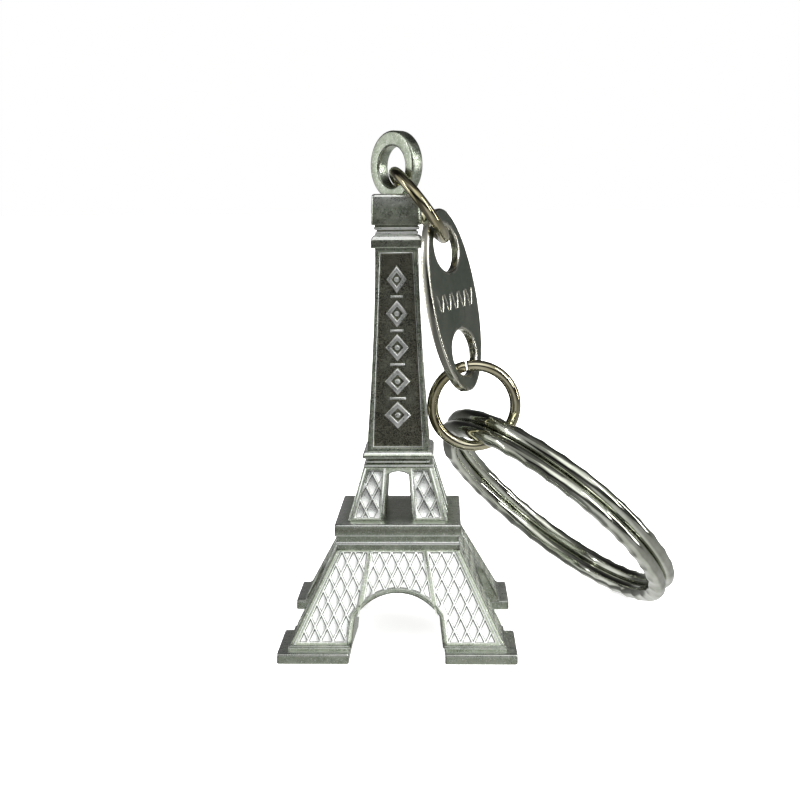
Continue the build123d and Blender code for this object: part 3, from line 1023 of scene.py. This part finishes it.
# ---- floor, world, lights and camera --------------------------------------------------------------
floor_mesh = bpy.data.meshes.new("floor")
FLOOR_HALF = 40  # metres, so that its edge is never seen
floor_corners = [(FLOOR_HALF * sx, FLOOR_HALF * sy, 0) for sx, sy in ((-1, -1), (1, -1), (1, 1), (-1, 1))]
floor_mesh.from_pydata(floor_corners, [], [(0, 1, 2, 3)])
floor = bpy.data.objects.new("floor", floor_mesh)
bpy.context.scene.collection.objects.link(floor)
floor_look = Surface("pale floor")
floor_look.link(
    floor_look.mix(floor_look.noise(12, 2), (0.86, 0.86, 0.86), (0.88, 0.88, 0.88)),
    floor_look.shader.inputs["Base Color"],
)
floor_look.shader.inputs["Roughness"].default_value = 0.9
floor_look.shader.inputs["Specular IOR Level"].default_value = 0.1
floor_look.shader.inputs["Emission Color"].default_value = (1, 1, 1, 1)
floor_look.shader.inputs["Emission Strength"].default_value = 0.65
floor_mesh.materials.append(floor_look.material)
floor.visible_glossy = False

world = bpy.data.worlds.new("studio")
bpy.context.scene.world = world
world.use_nodes = True
world.node_tree.nodes.clear()
sky = Nodes(world.node_tree)
direction = sky.new("ShaderNodeSeparateXYZ")
sky.link(sky.new("ShaderNodeTexCoord").outputs["Generated"], direction.inputs[0])
sky_x, sky_y, sky_z = (sky.remap(direction.outputs[axis], -1, 1, 0, 1) for axis in "XYZ")

# Seen in reflections: bright soft light high up in front of the object, and a darker room behind it.
# The stops run from one end of an axis (0) to the other (1).
in_front = sky.ramp(sky_z, [
    (0.20, 0.42), (0.36, 0.34), (0.44, 0.05), (0.63, 0.03), (0.70, 0.9), (0.76, 1.0), (0.88, 1.0),
    (0.94, 0.12),
])
behind = sky.ramp(sky_z, [(0.25, 0.42), (0.45, 0.30), (0.58, 0.20), (0.68, 0.05), (0.90, 0.03)])
room = sky.mix(sky.ramp(sky_y, [(0.35, 0.0), (0.62, 1.0)]), in_front, behind)
sides = sky.ramp(sky_x, [
    (0.0, 0.6), (0.1, 0.2), (0.32, 0.3), (0.42, 1.0), (0.62, 1.0), (0.78, 0.55), (1.0, 0.6),
])
left_glow = sky.ramp(sky_x, [(0.0, 0.46), (0.04, 0.34), (0.09, 0.0)])
studio = sky.mix(1.0, sky.mix(1.0, room, sides, "MULTIPLY"), left_glow, "ADD")
background = sky.new("ShaderNodeBackground")
background.inputs["Strength"].default_value = 1.7
sky.link(studio, background.inputs["Color"])
plain = sky.new("ShaderNodeBackground")
plain.inputs["Color"].default_value = (1, 1, 1, 1)
plain.inputs["Strength"].default_value = 1.0
choose = sky.new("ShaderNodeMixShader")
sky.link(sky.new("ShaderNodeLightPath").outputs["Is Camera Ray"], choose.inputs[0])
sky.link(background.outputs[0], choose.inputs[1])
sky.link(plain.outputs[0], choose.inputs[2])
sky.link(choose.outputs[0], sky.new("ShaderNodeOutputWorld").inputs["Surface"])


def area_light(name, place, target, size, power):
    data = bpy.data.lights.new(name, "AREA")
    data.shape = "RECTANGLE"
    data.size, data.size_y = size
    data.energy = power
    light = bpy.data.objects.new(name, data)
    bpy.context.scene.collection.objects.link(light)
    light.location = place
    light.rotation_euler = (Vector(target) - Vector(place)).to_track_quat("-Z", "Y").to_euler()


sun_data = bpy.data.lights.new("soft overhead", "SUN")
sun_data.energy = 8.0
sun_data.angle = math.radians(120)
sun = bpy.data.objects.new("soft overhead", sun_data)
bpy.context.scene.collection.objects.link(sun)
sun.visible_glossy = False
area_light("left_strip", (-0.5, -0.12, 0.12), (0, 0, 0.03), (0.03, 0.4), 0.35)
area_light("right_edge", (0.5, -0.06, 0.12), (0, 0, 0.04), (0.03, 0.3), 0.5)
area_light("right_strip", (0.42, -0.35, 0.25), (0.01, 0, 0.02), (0.05, 0.4), 0.9)

CAMERA_PLACE = (0.004484, -0.11967, 0.04220)
camera_data = bpy.data.cameras.new("camera")
camera_data.lens = 54.17
camera_data.sensor_width = 36
camera_data.clip_start = 0.005
camera = bpy.data.objects.new("camera", camera_data)
bpy.context.scene.collection.objects.link(camera)
bpy.context.scene.camera = camera
yaw, pitch, roll = -0.0363, 0.1550, -0.00995
forward = Vector((math.sin(yaw) * math.cos(pitch), math.cos(yaw) * math.cos(pitch), -math.sin(pitch)))
level = Vector((math.cos(yaw), -math.sin(yaw), 0))
upright = level.cross(forward)
across = math.cos(roll) * level + math.sin(roll) * upright
upward = -math.sin(roll) * level + math.cos(roll) * upright
camera.matrix_world = Matrix.Translation(CAMERA_PLACE) @ Matrix(
    (across, upward, -forward)
).transposed().to_4x4()

bpy.context.scene.view_settings.view_transform = "Standard"
bpy.context.scene.view_settings.look = "None"
